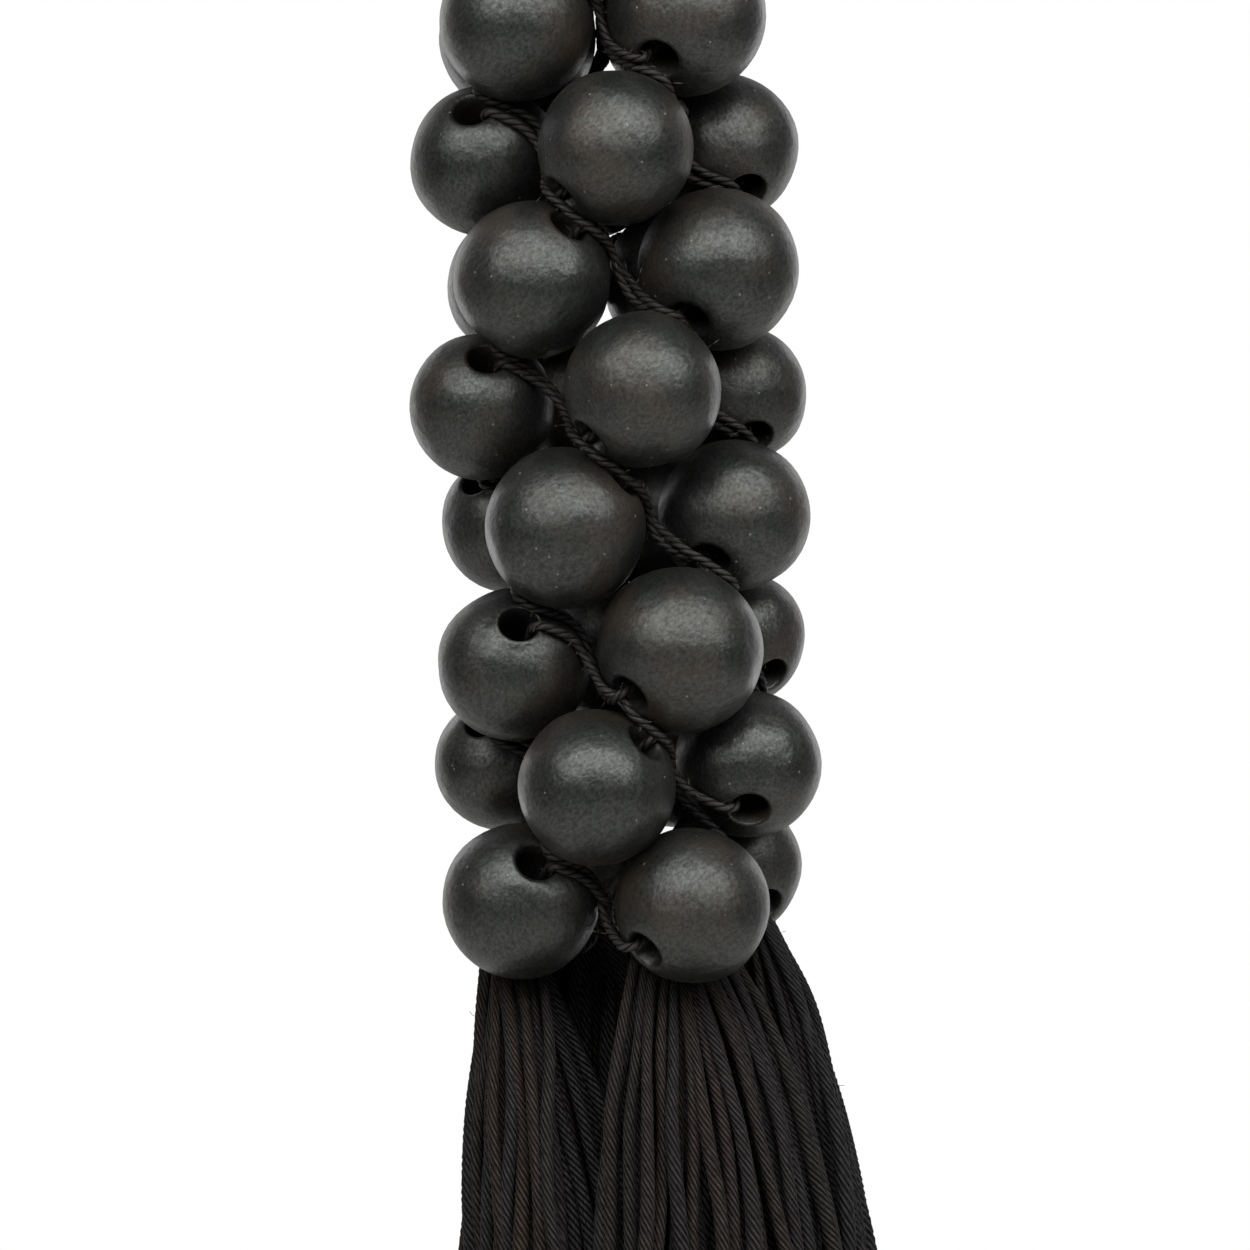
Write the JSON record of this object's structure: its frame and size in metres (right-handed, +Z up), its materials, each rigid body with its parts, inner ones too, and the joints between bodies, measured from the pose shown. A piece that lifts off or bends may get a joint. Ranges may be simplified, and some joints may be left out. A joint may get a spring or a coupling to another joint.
{
  "type": "wooden bead tassel",
  "caption": "Hanging tassel: rings of black wooden beads nested on waxed cords, with a cord loop on top and a full skirt of cotton yarn below.",
  "frame": {"origin": "the point inside the top of the hanging loop, where it hangs on a hook or nail", "axes": "+Z up along the hanging tassel; -Y is the front that the picture shows; +X to the viewer's right"},
  "size_m": [0.0783, 0.0655, 0.4208],
  "materials": {
    "dyed_wood": "black dyed, waxed satin",
    "waxed_cord": "twisted cotton cord, black, waxed",
    "cotton_yarn": "plied cotton yarn, charcoal black, matt"
  },
  "bodies": {
    "root": {"bead_1_1": "dyed_wood", "bead_1_2": "dyed_wood", "bead_1_3": "dyed_wood", "bead_1_4": "dyed_wood", "bead_2_1": "dyed_wood", "bead_2_2": "dyed_wood", "bead_2_3": "dyed_wood", "bead_2_4": "dyed_wood", "bead_3_1": "dyed_wood", "bead_3_2": "dyed_wood", "bead_3_3": "dyed_wood", "bead_3_4": "dyed_wood", "bead_4_1": "dyed_wood", "bead_4_2": "dyed_wood", "bead_4_3": "dyed_wood", "bead_4_4": "dyed_wood", "bead_5_1": "dyed_wood", "bead_5_2": "dyed_wood", "bead_5_3": "dyed_wood", "bead_5_4": "dyed_wood", "bead_6_1": "dyed_wood", "bead_6_2": "dyed_wood", "bead_6_3": "dyed_wood", "bead_6_4": "dyed_wood", "bead_7_1": "dyed_wood", "bead_7_2": "dyed_wood", "bead_7_3": "dyed_wood", "bead_7_4": "dyed_wood", "bead_8_1": "dyed_wood", "bead_8_2": "dyed_wood", "bead_8_3": "dyed_wood", "bead_8_4": "dyed_wood", "bead_9_1": "dyed_wood", "bead_9_2": "dyed_wood", "bead_9_3": "dyed_wood", "bead_9_4": "dyed_wood", "bead_10_1": "dyed_wood", "bead_10_2": "dyed_wood", "bead_10_3": "dyed_wood", "bead_10_4": "dyed_wood", "string_1": "waxed_cord", "string_2": "waxed_cord", "string_3": "waxed_cord", "string_4": "waxed_cord", "hanging_loop": "waxed_cord", "whipping": "waxed_cord", "hank_1": "cotton_yarn", "hank_2": "cotton_yarn", "hank_3": "cotton_yarn", "hank_4": "cotton_yarn"}
  },
  "joints": []
}
